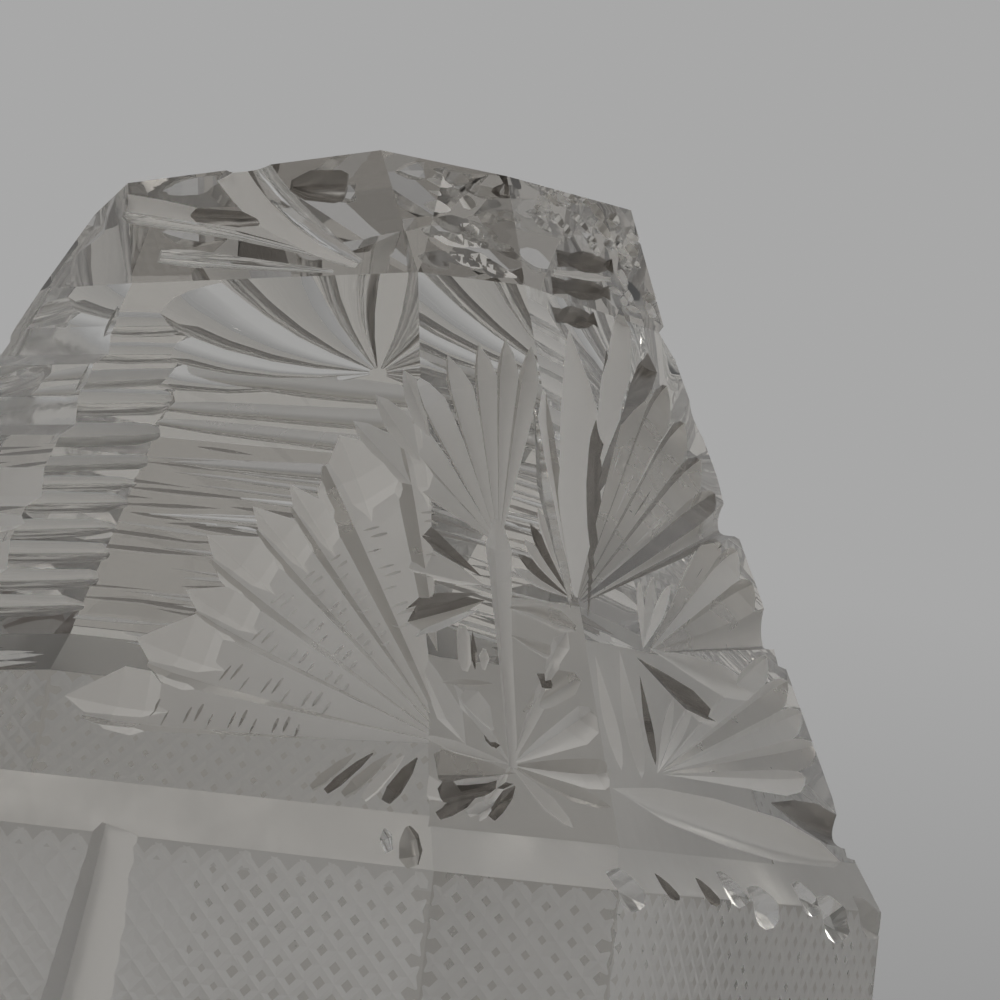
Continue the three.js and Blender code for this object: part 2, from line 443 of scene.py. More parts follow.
def build_stopper():
    ridge, edge, top = lifted(RIDGE), lifted(EDGE), lifted(TABLE)
    rings = [
        octagon(15.3, 215.6),
        octagon(15.5, 215.9),
        octagon(15.5, 218.8),
        ring_of(20.5, 24.0, 222.0),
        ring_of(26.3, 38.6, 226.0),
        ring_of(27.2, 40.6, 226.9),
        ring_of(27.2, 40.6, 238.9),
        ridge,
        edge,
        top,
    ]
    # the band's flats are tinted as painted shade, the bevel above it is satin with a painted-shade tint, and the crown
    # and the table are dimmed as painted shade
    v, f, s = stack(rings, [POLISHED] * 5 + [SHADE, SATIN_SHADE, POLISHED, DIM, DIM])
    # the table is one plane but for its near corner, which is ground lower
    first = len(v) - 8
    f[-1] = tuple(first + i for i in (1, 2, 3, 4, 5, 6, 7))
    f.append((first + 7, first, first + 1))
    s.append(DIM)
    base = mesh_object("stopper_cut", v, f, s)

    # the ground plug, rounded at its foot
    def plug_r(z):
        return 11.2 + (z - 184.0) / (213.5 - 184.0) * 2.1 - 0.3

    n = 96
    rows = []
    for i in range(9):
        t = i / 8 * math.pi / 2
        rows.append(round_ring(plug_r(187.2) - 1.3 + 1.3 * math.sin(t), 186.02 + 1.3 * (1 - math.cos(t)), n, 0))
    rows.append(round_ring(plug_r(213.0), 213.0, n, 0))
    rows.append(round_ring(plug_r(213.0) - 0.25, 213.6, n, 0))
    rows.append(round_ring(plug_r(213.0) - 0.25, 220.0, n, 0))
    v, f, s = stack(rows, [INSIDE] + [INSIDE] * 8 + [GROUND, INSIDE, INSIDE])
    s[0] = POLISHED
    plug = mesh_object("plug", v, f, s)

    cuts = []
    lean = (RIDGE_HALF - CROWN_HALF) / CROWN_UP
    S, B, W, F = [Flat(p, n, u) for p, n, u in (
        ((RIDGE_HALF, 0, RIDGE_Z), (1, 0, lean), (0, 1, 0)),
        ((0, RIDGE_HALF, RIDGE_Z), (0, 1, lean), (-1, 0, 0)),
        ((-RIDGE_HALF, 0, RIDGE_Z), (-1, 0, lean), (0, -1, 0)),
        ((0, -RIDGE_HALF, RIDGE_Z), (0, -1, lean), (1, 0, 0)))]
    N = flat_of(ridge[1], ridge[2], edge[1])
    L = flat_of(ridge[3], ridge[4], edge[3])
    M = flat_of(ridge[5], ridge[6], edge[5])
    C = flat_of(ridge[7], ridge[0], edge[7])

    # front flat: one large fan from its lower right corner, a broad and a steep side to each
    # flute, the steep side painted darker as shade, rows of fine nicks across them painted as shade, and bright ends
    ap = (19.1, 3.9)
    turns = (183.5, 173.9, 161.5, 152.8, 143.6, 136.6, 130.2, 116.5, 105.5)
    reach = (20.3, 17.8, 16.9, 18.2, 17.6, 17.4, 18.6, 18.0)
    for a0, a1, size in zip(turns, turns[1:], reach):
        mid, half = math.radians((a0 + a1) / 2), math.tan(math.radians((a0 - a1) / 2))
        d = Vector((math.cos(mid), math.sin(mid)))
        side = Vector((-d.y, d.x))
        rows = []
        for t, e, dep in ((0.03, 1.0, 0.3), (0.3, 1.0, 0.75), (0.6, 1.0, 1.0), (0.8, 1.0, 1.0), (0.93, 0.72, 0.7), (1.0, 0.12, 0.1)):
            w = size * t * half * e * 1.01
            rows.append((t, w * 0.46, w * 1.54, 0.6 * dep * min(1.0, w / 0.5)))
        # the bottom line lies a little below the middle of each flute
        off = half * size * 0.54
        a2 = mid + math.atan2(off, size)
        q = (ap[0] + size * math.cos(a2), ap[1] + size * math.sin(a2))
        cuts.append(blade(F, ap, q, rows, slot=SATIN, over=0.03, left=SHADE))
        w = size * half
        tip = Vector(ap) + d * size * 1.0
        cuts.append(blade(F, tuple(Vector(ap) + d * size * 0.76), tuple(tip + d * 1.3), [(0.0, w * 0.5, w * 0.3, 0.35), (0.3, w * 1.0, w * 1.15, 0.6), (0.55, w * 0.9, w * 1.2, 0.55), (1.0, 0.04, 0.04, 0.0)], slot=FROST, over=0.03))
        r, k_ = size * 0.42, 0
        parts = []
        while r < size * 0.82:
            m = Vector(ap) + d * r + side * (w * r / size) * (0.32, -0.05, 0.12)[k_ % 3]
            e = Vector((math.cos(mid - math.radians(112)), math.sin(mid - math.radians(112)))) * min(0.55, w * r / size * 0.55)
            p, q = m - e, m + e
            parts.append(groove_parts(F, [(p.x, p.y, 0.4), (p.x * 0.7 + q.x * 0.3, p.y * 0.7 + q.y * 0.3, 0.66), (p.x * 0.3 + q.x * 0.7, p.y * 0.3 + q.y * 0.7, 0.66), (q.x, q.y, 0.4)], 0.24, over=0.03))
            r += (0.62, 0.62, 1.25)[k_ % 3]
            k_ += 1
        cuts.append(many(parts, slot=SHADE))
    # the near corner's fan carries on over the edge onto this flat
    for p, q, wl, wr, d in (((15.6, 16.0), (8.7, 21.4), 0.55, 0.95, 0.5), ((15.2, 17.2), (9.5, 23.0), 0.5, 0.8, 0.45), ((14.6, 18.6), (10.6, 24.6), 0.45, 0.7, 0.4), ((13.6, 20.4), (11.4, 26.0), 0.35, 0.5, 0.35)):
        cuts.append(blade(F, p, q, [(0.0, wl * 0.5, wr * 0.5, d * 0.6), (0.4, wl * 0.9, wr * 0.9, d), (0.75, wl, wr, d), (0.92, wl * 0.5, wr * 0.5, d * 0.5), (1.0, 0.03, 0.03, 0.0)], slot=SATIN, over=0.05))
    # small leaves in a chain down its left edge
    for v0, u0 in ((24.2, -7.2), (21.0, -7.7), (17.8, -8.2), (14.6, -8.7), (11.4, -9.1), (8.2, -9.6), (5.0, -10.0)):
        cuts.append(leaf(F, (u0 - 0.35, v0), (u0 + 0.25, v0 + 3.6), 1.1, k=1.6, peak=0.45, slot=CUT, over=0.2))

    # near corner flat: upper fan, spine, star
    ap = (0.85, 15.9)
    # each flute's left side is tinted as painted shade
    for q, wl, wr in (((-5.4, 20.4), 0.6, 1.0), ((-4.7, 23.3), 0.6, 1.05), ((-2.7, 25.3), 0.5, 1.0), ((-0.6, 26.8), 0.45, 0.95), ((1.4, 27.8), 0.4, 0.9), ((3.1, 28.4), 0.4, 0.8), ((4.6, 28.2), 0.4, 0.7)):
        cuts.append(blade(C, ap, q, [(0.02, 0.05, 0.05, 0.03), (0.3, wl * 0.5, wr * 0.5, 0.25), (0.6, wl * 0.95, wr * 0.95, 0.45), (0.84, wl * 1.1, wr * 1.1, 0.5), (0.94, wl * 0.6, wr * 0.6, 0.28), (1.0, 0.03, 0.03, 0.0)], slot=SATIN, over=0.03, left=SHADE))
    cuts.append(blade(C, (0.95, 17.4), (-0.2, 3.2), [(0.0, 0.3, 0.3, 0.12), (0.12, 0.75, 0.75, 0.4), (0.25, 0.62, 0.62, 0.45), (0.6, 0.42, 0.42, 0.42), (1.0, 0.3, 0.3, 0.3)], slot=SATIN))
    st = (-0.31, 3.32)
    # one of the star's blades is tinted as painted shade
    for q, wl, wr, c in (((3.6, 10.2), 0.4, 0.5, SATIN), ((5.2, 1.6), 0.45, 0.6, SHADE), ((2.8, 0.2), 0.5, 0.5, FROST), ((-2.6, 0.0), 0.4, 0.4, FROST), ((-3.0, 7.6), 0.4, 0.35, SATIN), ((-5.1, 4.4), 0.4, 0.35, FROST)):
        cuts.append(blade(C, st, q, [(0.02, 0.05, 0.05, 0.03), (0.35, wl * 0.7, wr * 0.7, 0.35), (0.62, wl, wr, 0.5), (0.88, wl * 0.6, wr * 0.6, 0.3), (1.0, 0.03, 0.03, 0.0)], slot=c, over=0.03))
    # two broad leaves widen toward the right-hand flat
    cuts.append(blade(C, st, (4.9, 7.0), [(0.02, 0.05, 0.05, 0.03), (0.4, 0.35, 0.75, 0.4), (0.75, 0.5, 1.35, 0.65), (0.92, 0.55, 1.2, 0.6), (1.0, 0.2, 0.5, 0.2)], slot=FROST, left=SATIN, over=0.03))
    # this leaf's left side is tinted as painted shade
    cuts.append(blade(C, st, (5.4, 3.7), [(0.02, 0.05, 0.05, 0.03), (0.4, 0.4, 0.7, 0.4), (0.75, 0.6, 1.15, 0.6), (0.92, 0.6, 1.15, 0.55), (1.0, 0.4, 0.9, 0.3)], slot=FROST, left=SHADE, over=0.03))
    # the ground round them, satin with a painted-shade tint, and steep facets painted dark as shade with bright ones
    # between, toward the front flat
    cuts.append(pad(C, -7.0, -0.6, 7.0, 8.9, 0.02, slot=SATIN_SHADE))
    cuts.append(pad(C, 0.4, 8.8, 7.0, 12.9, 0.02, slot=SATIN_SHADE))
    # soft cuts beside the spine, some of their sides tinted as painted shade
    cuts.append(scoop(C, (0.7, 12.3), (4.7, 11.6), [(0, 0.05, 0.05, 0.03), (0.4, 0.45, 0.5, 0.35, 0.3), (0.8, 0.6, 0.7, 0.45, 0.2), (1, 0.2, 0.2, 0.15)], slot=SHADE, right=SATIN))
    cuts.append(scoop(C, (0.8, 10.7), (3.4, 9.9), [(0, 0.05, 0.05, 0.03), (0.4, 0.3, 0.4, 0.3), (0.8, 0.4, 0.5, 0.35), (1, 0.1, 0.1, 0.1)], slot=SATIN, left=SHADE))
    cuts.append(blade(C, (2.6, 8.9), (4.2, 11.4), [(0, 0.2, 0.2, 0.15), (0.3, 0.4, 0.45, 0.4), (0.7, 0.5, 0.55, 0.45), (1, 0.03, 0.03, 0.0)], slot=FROST, left=SATIN))
    cuts.append(blade(C, (-0.1, 2.9), (-4.6, 2.7), [(0, 0.03, 0.03, 0.02), (0.3, 0.25, 0.5, 0.4), (0.6, 0.5, 0.8, 0.6), (0.9, 0.8, 1.1, 0.8), (1, 0.6, 0.8, 0.3)], slot=DARK_SHADE, right=SHADE))
    cuts.append(blade(C, (-0.3, 2.3), (-4.6, 1.3), [(0, 0.03, 0.03, 0.02), (0.3, 0.4, 0.5, 0.5), (0.6, 0.5, 0.6, 0.7), (0.9, 0.6, 0.7, 0.8), (1, 0.4, 0.4, 0.2)], slot=DARK_SHADE))
    for p, q, w, c in (((-0.9, 2.5), (-3.7, 2.1), 0.4, FROST), ((-0.2, 2.2), (-1.9, 0.3), 0.7, DARK_SHADE), ((-2.6, 1.3), (-4.9, 0.1), 0.7, DARK_SHADE), ((-1.0, 1.4), (-3.2, 0.4), 0.6, FROST), ((-1.6, 4.9), (-0.9, 4.2), 0.5, DARK_SHADE), ((2.0, 8.7), (3.0, 8.1), 0.7, DARK_SHADE)):
        cuts.append(blade(C, p, q, [(0, 0.03, 0.03, 0.02), (0.3, w * 0.4, w * 0.5, w * 0.5 + 0.5), (0.7, w * 0.5, w * 0.5, w * 0.5 + 0.9), (1, w * 0.3, w * 0.3, w * 0.2)], slot=c))
    cuts.append(blade(C, (-1.0, 5.2), (-2.6, 7.0), [(0, 0.1, 0.1, 0.1), (0.4, 0.6, 0.9, 0.35), (0.8, 0.7, 1.0, 0.4), (1, 0.3, 0.4, 0.2)], slot=FROST, right=SATIN))
    # a thin line and a soft cut tinted as painted shade
    cuts.append(leaf(C, (-3.9, 7.5), (-0.6, 7.8), 0.45, k=1.0, peak=0.5, slot=SHADE))
    cuts.append(scoop(C, (0.9, 6.4), (4.4, 8.8), [(0, 0.1, 0.1, 0.1), (0.4, 0.7, 0.6, 0.35), (0.8, 0.9, 0.7, 0.45), (1, 0.3, 0.3, 0.2)], slot=SHADE, right=SATIN_SHADE))
    # a tall frosted cut in the window above the star as a painted highlight, a leaf beside it painted dark as shade,
    # and a small frosted one
    cuts.append(scoop(C, (-2.0, 10.9), (-2.2, 8.3), [(0, 0.2, 0.2, 0.2), (0.2, 0.4, 0.35, 0.5), (0.8, 0.4, 0.35, 0.5), (1, 0.15, 0.15, 0.15)], slot=FROST))
    cuts.append(leaf(C, (-1.45, 10.6), (-1.6, 8.4), 0.35, k=0.8, peak=0.5, slot=DARK_SHADE))
    cuts.append(scoop(C, (-0.9, 9.7), (-1.1, 8.5), [(0, 0.1, 0.1, 0.1), (0.4, 0.3, 0.3, 0.4), (1, 0.1, 0.1, 0.1)], slot=FROST))
    # slanting cuts beside it on the front flat, under its large fan: frosted ones between ones painted dark as shade
    for p, q, w, c in (((18.7, 3.6), (19.6, 0.5), 1.5, FROST), ((17.6, 3.0), (16.6, 0.5), 0.9, DARK_SHADE), ((16.9, 3.1), (15.4, 0.5), 0.7, FROST), ((16.2, 3.1), (14.3, 0.6), 0.8, SHADE), ((15.2, 3.0), (13.3, 0.7), 0.6, DARK_SHADE), ((14.3, 2.9), (12.5, 0.8), 0.7, SHADE)):
        cuts.append(blade(F, p, q, [(0, 0.05, 0.05, 0.03), (0.3, w * 0.35, w * 0.4, w * 0.4), (0.75, w * 0.5, w * 0.5, w * 0.5), (1, w * 0.3, w * 0.3, w * 0.2)], slot=c))
    # cuts down the near corner flat's right edge, some of their sides and leaves painted dark as shade
    cuts.append(blade(C, (4.6, 12.6), (4.2, 24.6), [(0, 0.03, 0.03, 0.02), (0.3, 0.5, 0.5, 0.45), (0.6, 0.7, 0.6, 0.6), (1, 0.03, 0.03, 0.0)], slot=CUT))
    cuts.append(blade(C, (5.0, 13.4), (5.2, 26.6), [(0, 0.03, 0.03, 0.02), (0.2, 0.35, 0.5, 0.35), (0.4, 0.75, 0.5, 0.5), (0.6, 0.95, 0.5, 0.55), (0.8, 0.8, 0.5, 0.5), (1, 0.05, 0.05, 0.0)], slot=SATIN, left=FROST, right=SHADE))
    for q, w, c in (((1.5, 14.6), 0.5, SATIN), ((1.9, 15.5), 0.55, DARK_SHADE), ((2.4, 16.4), 0.6, FROST), ((2.9, 17.4), 0.55, DARK_SHADE), ((3.5, 18.4), 0.55, FROST)):
        cuts.append(leaf(C, (4.7, 13.3), q, w * 1.5, k=1.2, peak=0.6, slot=c))
    # steep facets between the fan, the spine and the front flat, painted dark as shade with frosted ones between
    cuts.append(blade(C, (-0.5, 13.9), (-5.2, 17.6), [(0, 0.03, 0.03, 0.02), (0.3, 0.5, 0.25, 0.3), (0.7, 0.9, 0.5, 0.7), (1, 1.0, 0.6, 0.9)], slot=DARK_SHADE))
    cuts.append(blade(C, (-0.4, 13.4), (-5.4, 14.4), [(0, 0.03, 0.03, 0.02), (0.3, 0.5, 0.7, 0.4), (0.7, 0.8, 1.2, 0.7), (1, 0.8, 1.2, 0.7)], slot=FROST, right=SATIN))
    cuts.append(blade(C, (-0.5, 12.5), (-5.6, 10.9), [(0, 0.03, 0.03, 0.02), (0.3, 0.5, 0.6, 0.5), (0.7, 1.1, 1.1, 0.9), (1, 1.3, 1.4, 1.1)], slot=DARK_SHADE, left=SHADE))
    for p, q, c in (((-0.9, 11.9), (-4.4, 10.2), SATIN), ((-0.9, 12.8), (-4.8, 11.9), DARK_SHADE)):
        cuts.append(blade(C, p, q, [(0, 0.03, 0.03, 0.02), (0.4, 0.2, 0.25, 0.85), (0.8, 0.25, 0.3, 1.25), (1, 0.1, 0.1, 0.9)], slot=c))
    cuts.append(blade(C, (-4.9, 9.6), (-2.7, 4.1), [(0, 0.03, 0.03, 0.02), (0.3, 0.5, 0.6, 0.35), (0.7, 0.8, 0.9, 0.5), (1, 0.03, 0.03, 0.0)], slot=FROST, left=SATIN))

    # right-hand flat, and the left one the same: three fans that run toward the far corner, on a satin patch with a
    # painted-shade tint; sides of the flutes and many streaks and leaves are painted dark as shade
    def flute(X, p, ang, size, wide, depth, skew=0.0, slot=SHADE, left=None, right=None):
        a = math.radians(ang)
        q = (p[0] + size * math.cos(a), p[1] + size * math.sin(a))
        rows = [(0.03, 0.04), (0.82, 1.0), (0.93, 0.8), (0.98, 0.4), (1.0, 0.0)]
        return blade(X, p, q, [(t, wide * e * (1 + skew) + 0.02, wide * e * (1 - skew) + 0.02, depth * e) for t, e in rows], slot=slot, left=left, right=right)

    def streak(X, p, ang, start, size, wide, slot):
        a = math.radians(ang)
        c, s_ = math.cos(a), math.sin(a)
        return leaf(X, (p[0] + start * c, p[1] + start * s_), (p[0] + size * c, p[1] + size * s_), wide, k=0.8, peak=0.55, slot=slot, over=0.03)

    for X in (S, W):
        cuts.append(pad(X, -18.6, -0.6, 5.0, 10.6, 0.02, slot=SATIN_SHADE))
        ap = (-14.2, 12.5)
        cuts.append(scoop(X, ap, (-3.6, 29.0), [(0, 0.05, 0.05, 0.03), (0.2, 1.0, 1.3, 0.5), (0.35, 1.5, 2.4, 0.8), (0.55, 1.4, 3.9, 1.0), (0.74, 1.0, 4.3, 0.95), (0.9, 0.5, 2.3, 0.5), (1, 0.05, 0.05, 0.0)], slot=FROST, left=SHADE))
        cuts.append(scoop(X, (-12.9, 12.0), (1.6, 28.6), [(0, 0.05, 0.05, 0.03), (0.3, 0.35, 0.6, 0.6), (0.6, 0.5, 0.8, 0.9), (0.85, 0.4, 0.6, 0.7), (1, 0.03, 0.03, 0.0)], slot=DARK_SHADE))
        cuts.append(scoop(X, ap, (5.8, 31.4), [(0, 0.03, 0.03, 0.02), (0.5, 0.3, 0.4, 0.3), (0.72, 0.6, 1.4, 0.75), (0.87, 0.7, 1.9, 0.9), (1, 0.4, 1.1, 0.5)], slot=FROST, left=DARK_SHADE))
        cuts.append(scoop(X, (-6.4, 19.6), (8.6, 29.0), [(0, 0.05, 0.05, 0.03), (0.5, 0.4, 0.6, 0.6), (0.8, 0.7, 1.0, 0.9), (1, 0.5, 0.8, 0.6)], slot=DARK_SHADE))
        cuts.append(flute(X, ap, 41.0, 22.5, 0.5, 0.4, skew=-0.4, slot=FROST, left=DARK_SHADE))
        for ang, size, w in ((36.6, 27.6, 1.15), (32.0, 28.6, 1.2), (27.2, 28.6, 1.2), (22.6, 28.6, 1.15)):
            cuts.append(flute(X, ap, ang, size, w * 0.98, w * 0.5, skew=-0.3, slot=SHADE, left=DARK_SHADE))
        cuts.append(flute(X, ap, 18.4, 28.8, 1.0, 0.7, skew=-0.3, slot=DARK_SHADE, left=SHADE))
        for ang, start, size, wide, c in ((39.6, 6.0, 17.0, 0.5, DARK_SHADE), (35.6, 9.0, 24.0, 0.55, FROST), (33.2, 12.0, 26.0, 0.45, DARK_SHADE), (30.4, 8.0, 22.0, 0.45, SATIN), (28.6, 13.0, 27.0, 0.5, FROST), (25.4, 10.0, 24.0, 0.45, DARK_SHADE), (23.4, 14.0, 27.0, 0.5, FROST), (20.6, 9.0, 25.0, 0.45, SATIN)):
            cuts.append(streak(X, ap, ang, start, size, wide, c))
        cuts.append(scoop(X, (-13.0, 12.7), (17.2, 20.5), [(0, 0.03, 0.03, 0.02), (0.4, 0.5, 0.25, 0.3), (0.8, 1.1, 0.5, 0.8), (1, 1.5, 0.7, 1.15)], slot=SHADE, right=DARK_SHADE))
        bp = (-5.4, 10.6)
        for ang, size, w, c in ((27.0, 19.4, 1.0, SHADE), (21.4, 21.0, 1.1, SATIN), (15.6, 21.5, 1.15, SHADE)):
            cuts.append(flute(X, bp, ang, size, w, w * 0.6, skew=-0.4, slot=c, left=SHADE))
        for ang, start, size, wide, c in ((28.6, 6.0, 17.0, 0.5, FROST), (24.4, 9.0, 19.0, 0.45, DARK_SHADE), (19.8, 8.0, 19.0, 0.45, FROST), (14.2, 9.0, 20.0, 0.45, DARK_SHADE)):
            cuts.append(streak(X, bp, ang, start, size, wide, c))
        cuts.append(scoop(X, bp, (18.8, 13.3), [(0, 0.03, 0.03, 0.02), (0.4, 0.9, 0.2, 0.3), (0.8, 1.8, 0.4, 0.8), (1, 2.2, 0.5, 1.0)], slot=SHADE, right=DARK_SHADE))
        cuts.append(scoop(X, (-5.0, 10.9), (10.6, 9.6), [(0, 0.03, 0.03, 0.02), (0.4, 0.6, 0.85, 0.6), (0.7, 0.9, 1.3, 0.85), (0.9, 0.5, 0.8, 0.5), (1, 0.05, 0.05, 0)], slot=FROST, left=SATIN))
        cuts.append(scoop(X, (-7.3, 10.2), (2.9, 7.3), [(0, 0.03, 0.03, 0.02), (0.4, 0.5, 0.75, 0.5), (0.7, 0.8, 1.1, 0.75), (0.9, 0.5, 0.6, 0.4), (1, 0.05, 0.05, 0)], slot=FROST, left=DARK_SHADE))
        for q, w, c in (((-3.6, 14.8), 0.9, FROST), ((-1.2, 15.2), 1.0, SATIN), ((1.2, 15.0), 0.9, FROST)):
            cuts.append(leaf(X, (-6.0, 10.8), q, w, k=1.5, slot=c))
        cuts.append(leaf(X, (-9.6, 10.4), (-11.6, 3.3), 2.4, k=1.5, slot=SATIN))
        cuts.append(leaf(X, (-13.4, 9.8), (-14.2, 3.6), 2.0, k=1.5, slot=FROST))
        cuts.append(leaf(X, (-7.6, 9.2), (-9.0, 4.2), 1.2, k=1.3, slot=DARK_SHADE))
        cp = (-9.2, 3.7)
        for ang, size, w, c in ((19.4, 24.6, 0.9, SATIN), (15.2, 26.6, 0.95, SHADE), (11.0, 27.2, 0.95, SATIN), (6.8, 27.6, 0.95, SHADE), (2.8, 24.0, 0.8, FROST)):
            cuts.append(flute(X, cp, ang, size, w, w * 0.55, skew=-0.35, slot=c, left=SATIN))
        cuts.append(scoop(X, (7.6, 3.0), (20.4, 1.6), [(0, 0.03, 0.03, 0.02), (0.3, 0.8, 0.8, 0.8), (0.6, 1.2, 1.2, 1.2), (0.85, 1.0, 1.0, 1.0), (1, 0.6, 0.6, 0.6)], slot=DARK_SHADE))
        for q, w in (((-3.2, 8.4), 0.9), ((-0.2, 8.3), 0.9)):
            cuts.append(leaf(X, cp, q, w, k=1.4, slot=SATIN))
        cuts.append(scoop(X, (-16.2, 2.6), (16.6, 0.0), [(0, 0.03, 0.03, 0.02), (0.2, 0.9, 1.0, 0.7), (0.45, 1.4, 1.3, 0.95), (0.75, 1.5, 1.2, 0.95), (0.92, 0.9, 0.8, 0.6), (1, 0.05, 0.05, 0.02)], slot=FROST, right=SATIN))

    # one side corner: step cuts straight across
    for X, half in ((N, 7.0),):
        for b, rise, dep in ((19.9, 3.2, 0.75), (12.1, 3.4, 0.8), (0.7, 3.2, 0.8)):
            cuts.append(shelf(X, b, rise, 0.5, dep, half, slot=CUT))
    # back flat: open flutes up to the crown's edge over long straight leaves, one side of each flute painted dark as
    # shade
    ap = (0.3, 20.4)
    turns = (-5, 4, 15, 36, 66, 98, 128, 152, 170, 180, 188)
    for a0, a1 in zip(turns, turns[1:]):
        mid, half = math.radians((a0 + a1) / 2), math.tan(math.radians((a1 - a0) / 2))
        size = min(19.0, 11.5 / max(0.05, abs(math.sin(mid)))) if 30 < (a0 + a1) / 2 < 150 else 17.5
        off = half * size * 0.42
        a2 = mid - math.atan2(off, size)
        q = (ap[0] + size * math.cos(a2), ap[1] + size * math.sin(a2))
        w = size * half
        dep = min(2.3, w * 0.8)
        cuts.append(scoop(B, ap, q, [(t, w * t * 1.25, w * t * 0.75, dep * e, -size * 0.3 * t * (1 - t) * (1 if mid < 1.6 else -1)) for t, e in ((0.03, 0.04), (0.2, 0.32), (0.35, 0.55), (0.52, 0.74), (0.7, 0.88), (0.85, 0.95), (1.0, 1.0))], slot=POLISHED, right=DARK_SHADE, over=0.03))
    dice = random.Random(5)
    # the lower back flat dimmed as painted shade, some cuts across it dimmed or tinted too, and thin dashes painted
    # dark as shade
    cuts.append(pad(B, -19.0, 0.6, 19.0, 14.6, 0.03, slot=DIM))
    v0 = 18.9
    while v0 > 0.6:
        w = 0.3 + 1.1 * dice.random() ** 2 if v0 < 14.5 else 1.4 + 0.6 * dice.random()
        u0, u1 = -17.5 + 12 * dice.random(), 17.5 - 12 * dice.random()
        if v0 > 14.5:
            u0, u1 = -16.5, 17.0
        tilt = 1.3 * (dice.random() - 0.5)
        wl, wr = w * 0.55, w * 0.45
        peak = 0.25 + 0.5 * dice.random()
        look = dice.random()
        cuts.append(scoop(B, (u0, v0 - tilt), (u1, v0 + tilt), [(0, 0.03, 0.03, 0.02), (peak * 0.6, wl * 0.8, wr * 0.8, w * 0.35), (peak, wl, wr, w * 0.5), (peak + (1 - peak) * 0.7, wl * 0.6, wr * 0.6, w * 0.3), (1, 0.03, 0.03, 0.02)], slot=SHADE if v0 > 14.5 and look > 0.6 else POLISHED if v0 > 14.5 or look < 0.4 else DIM if look < 0.85 else FROST))
        for _ in range(4):
            u2, v2 = -15 + 30 * dice.random(), v0 + 0.8 * (dice.random() - 0.5)
            if v0 < 15:
                cuts.append(leaf(B, (u2, v2), (u2 + 4.0 + 7.0 * dice.random(), v2 + 0.9 * (dice.random() - 0.5)), 0.22 + 0.26 * dice.random(), k=0.9, peak=0.5, slot=DARK_SHADE if dice.random() < 0.65 else SHADE))
        v0 -= 0.35 + w * 0.45 if v0 < 14.5 else w * 1.05
    b = 24.0
    while b > 0.8:
        w = 0.5 + 0.7 * dice.random()
        tilt = 0.5 * (dice.random() - 0.5)
        cuts.append(scoop(L, (-7.0 + 2.0 * dice.random(), b - tilt), (7.0 - 2.0 * dice.random(), b + tilt), [(0, 0.03, 0.03, 0.02), (0.2, w * 0.9, w * 0.8, w * 0.35), (0.6, w, w, w * 0.45), (0.9, w * 0.8, w * 0.8, w * 0.3), (1, 0.03, 0.03, 0.02)], slot=POLISHED if dice.random() < 0.6 else SATIN))
        b -= w * 2.0 + 0.25
    # wide left corner flat: straight mitres
    for b in (24.6, 20.2, 15.8, 11.4, 7.0):
        cuts.append(shelf(M, b, 1.6, 0.8, 0.28, 12.0, slot=CUT if b > 16 else SATIN, over=0.15))
    for b in (13.4, 9.1, 4.6, 2.2):
        cuts.append(leaf(M, (-9.5, b - 0.6), (9.5, b + 0.8), 1.9, k=1.8, peak=0.5, slot=SATIN))

    # crown: hatched near corner and right side, one broad leaf across its back
    def cap_flat(i):
        p, q = edge[i], edge[(i + 1) % 8]
        far = (top[i] + top[(i + 1) % 8]) / 2
        fl = flat_of(p, q, far)
        return fl, (q - p).length / 2, (top[(i + 1) % 8] - top[i]).length / 2, (far - (p + q) / 2).length

    # a quarter of the small cuts on the near corner and the right side are tinted dark as painted shade
    fl, wp, wq, tall = cap_flat(7)
    for i in range(46):
        v0 = 0.5 + (tall - 1.0) * dice.random()
        wide = wp + (wq - wp) * v0 / tall - 0.8
        u0 = -wide + 2 * wide * dice.random()
        size, a = 0.9 + 1.5 * dice.random(), math.radians(-14 + 22 * (dice.random() - 0.5))
        du, dv = size * math.cos(a) / 2, size * math.sin(a) / 2
        cuts.append(leaf(fl, (u0 - du, v0 - dv), (u0 + du, v0 + dv), 0.35 + 0.4 * dice.random(), k=1.0, peak=0.4, slot=(CUT, CUT, DARK_SHADE, SATIN)[i % 4]))
    fl, wp, wq, tall = cap_flat(0)
    for i in range(70):
        v0 = 0.8 + (tall - 1.3) * dice.random()
        wide = wp + (wq - wp) * v0 / tall - 0.8
        u0 = -wide + 2 * wide * dice.random()
        if v0 < tall * 0.5 and u0 < wide * 0.3:
            continue
        size, a = 1.0 + 1.8 * dice.random(), math.radians(-8 + 26 * (dice.random() - 0.5))
        du, dv = size * math.cos(a) / 2, size * math.sin(a) / 2
        cuts.append(leaf(fl, (u0 - du, v0 - dv), (u0 + du, v0 + dv), 0.4 + 0.45 * dice.random(), k=1.1, peak=0.4, slot=(CUT, SATIN, CUT, SHADE)[i % 4]))
    fl, wp, wq, tall = cap_flat(2)
    cuts.append(blade(fl, (-0.6, -0.2), (9.8, 6.9), [(0, 0.2, 0.2, 0.08), (0.3, 0.9, 0.9, 0.45), (0.7, 1.5, 1.5, 0.75), (1, 1.8, 1.8, 0.9)], slot=CUT))
    cuts.append(leaf(fl, (6.2, 6.0), (3.4, 4.4), 1.7, k=0.9, peak=0.5, slot=CUT))
    cuts.append(leaf(fl, (-1.0, 3.0), (-6.4, 6.2), 2.2, k=1.6, peak=0.5, slot=CUT))
    fl, wp, wq, tall = cap_flat(3)
    cuts.append(leaf(fl, (-2.2, 2.3), (2.4, 2.9), 1.6, k=0.9, peak=0.5, slot=CUT))
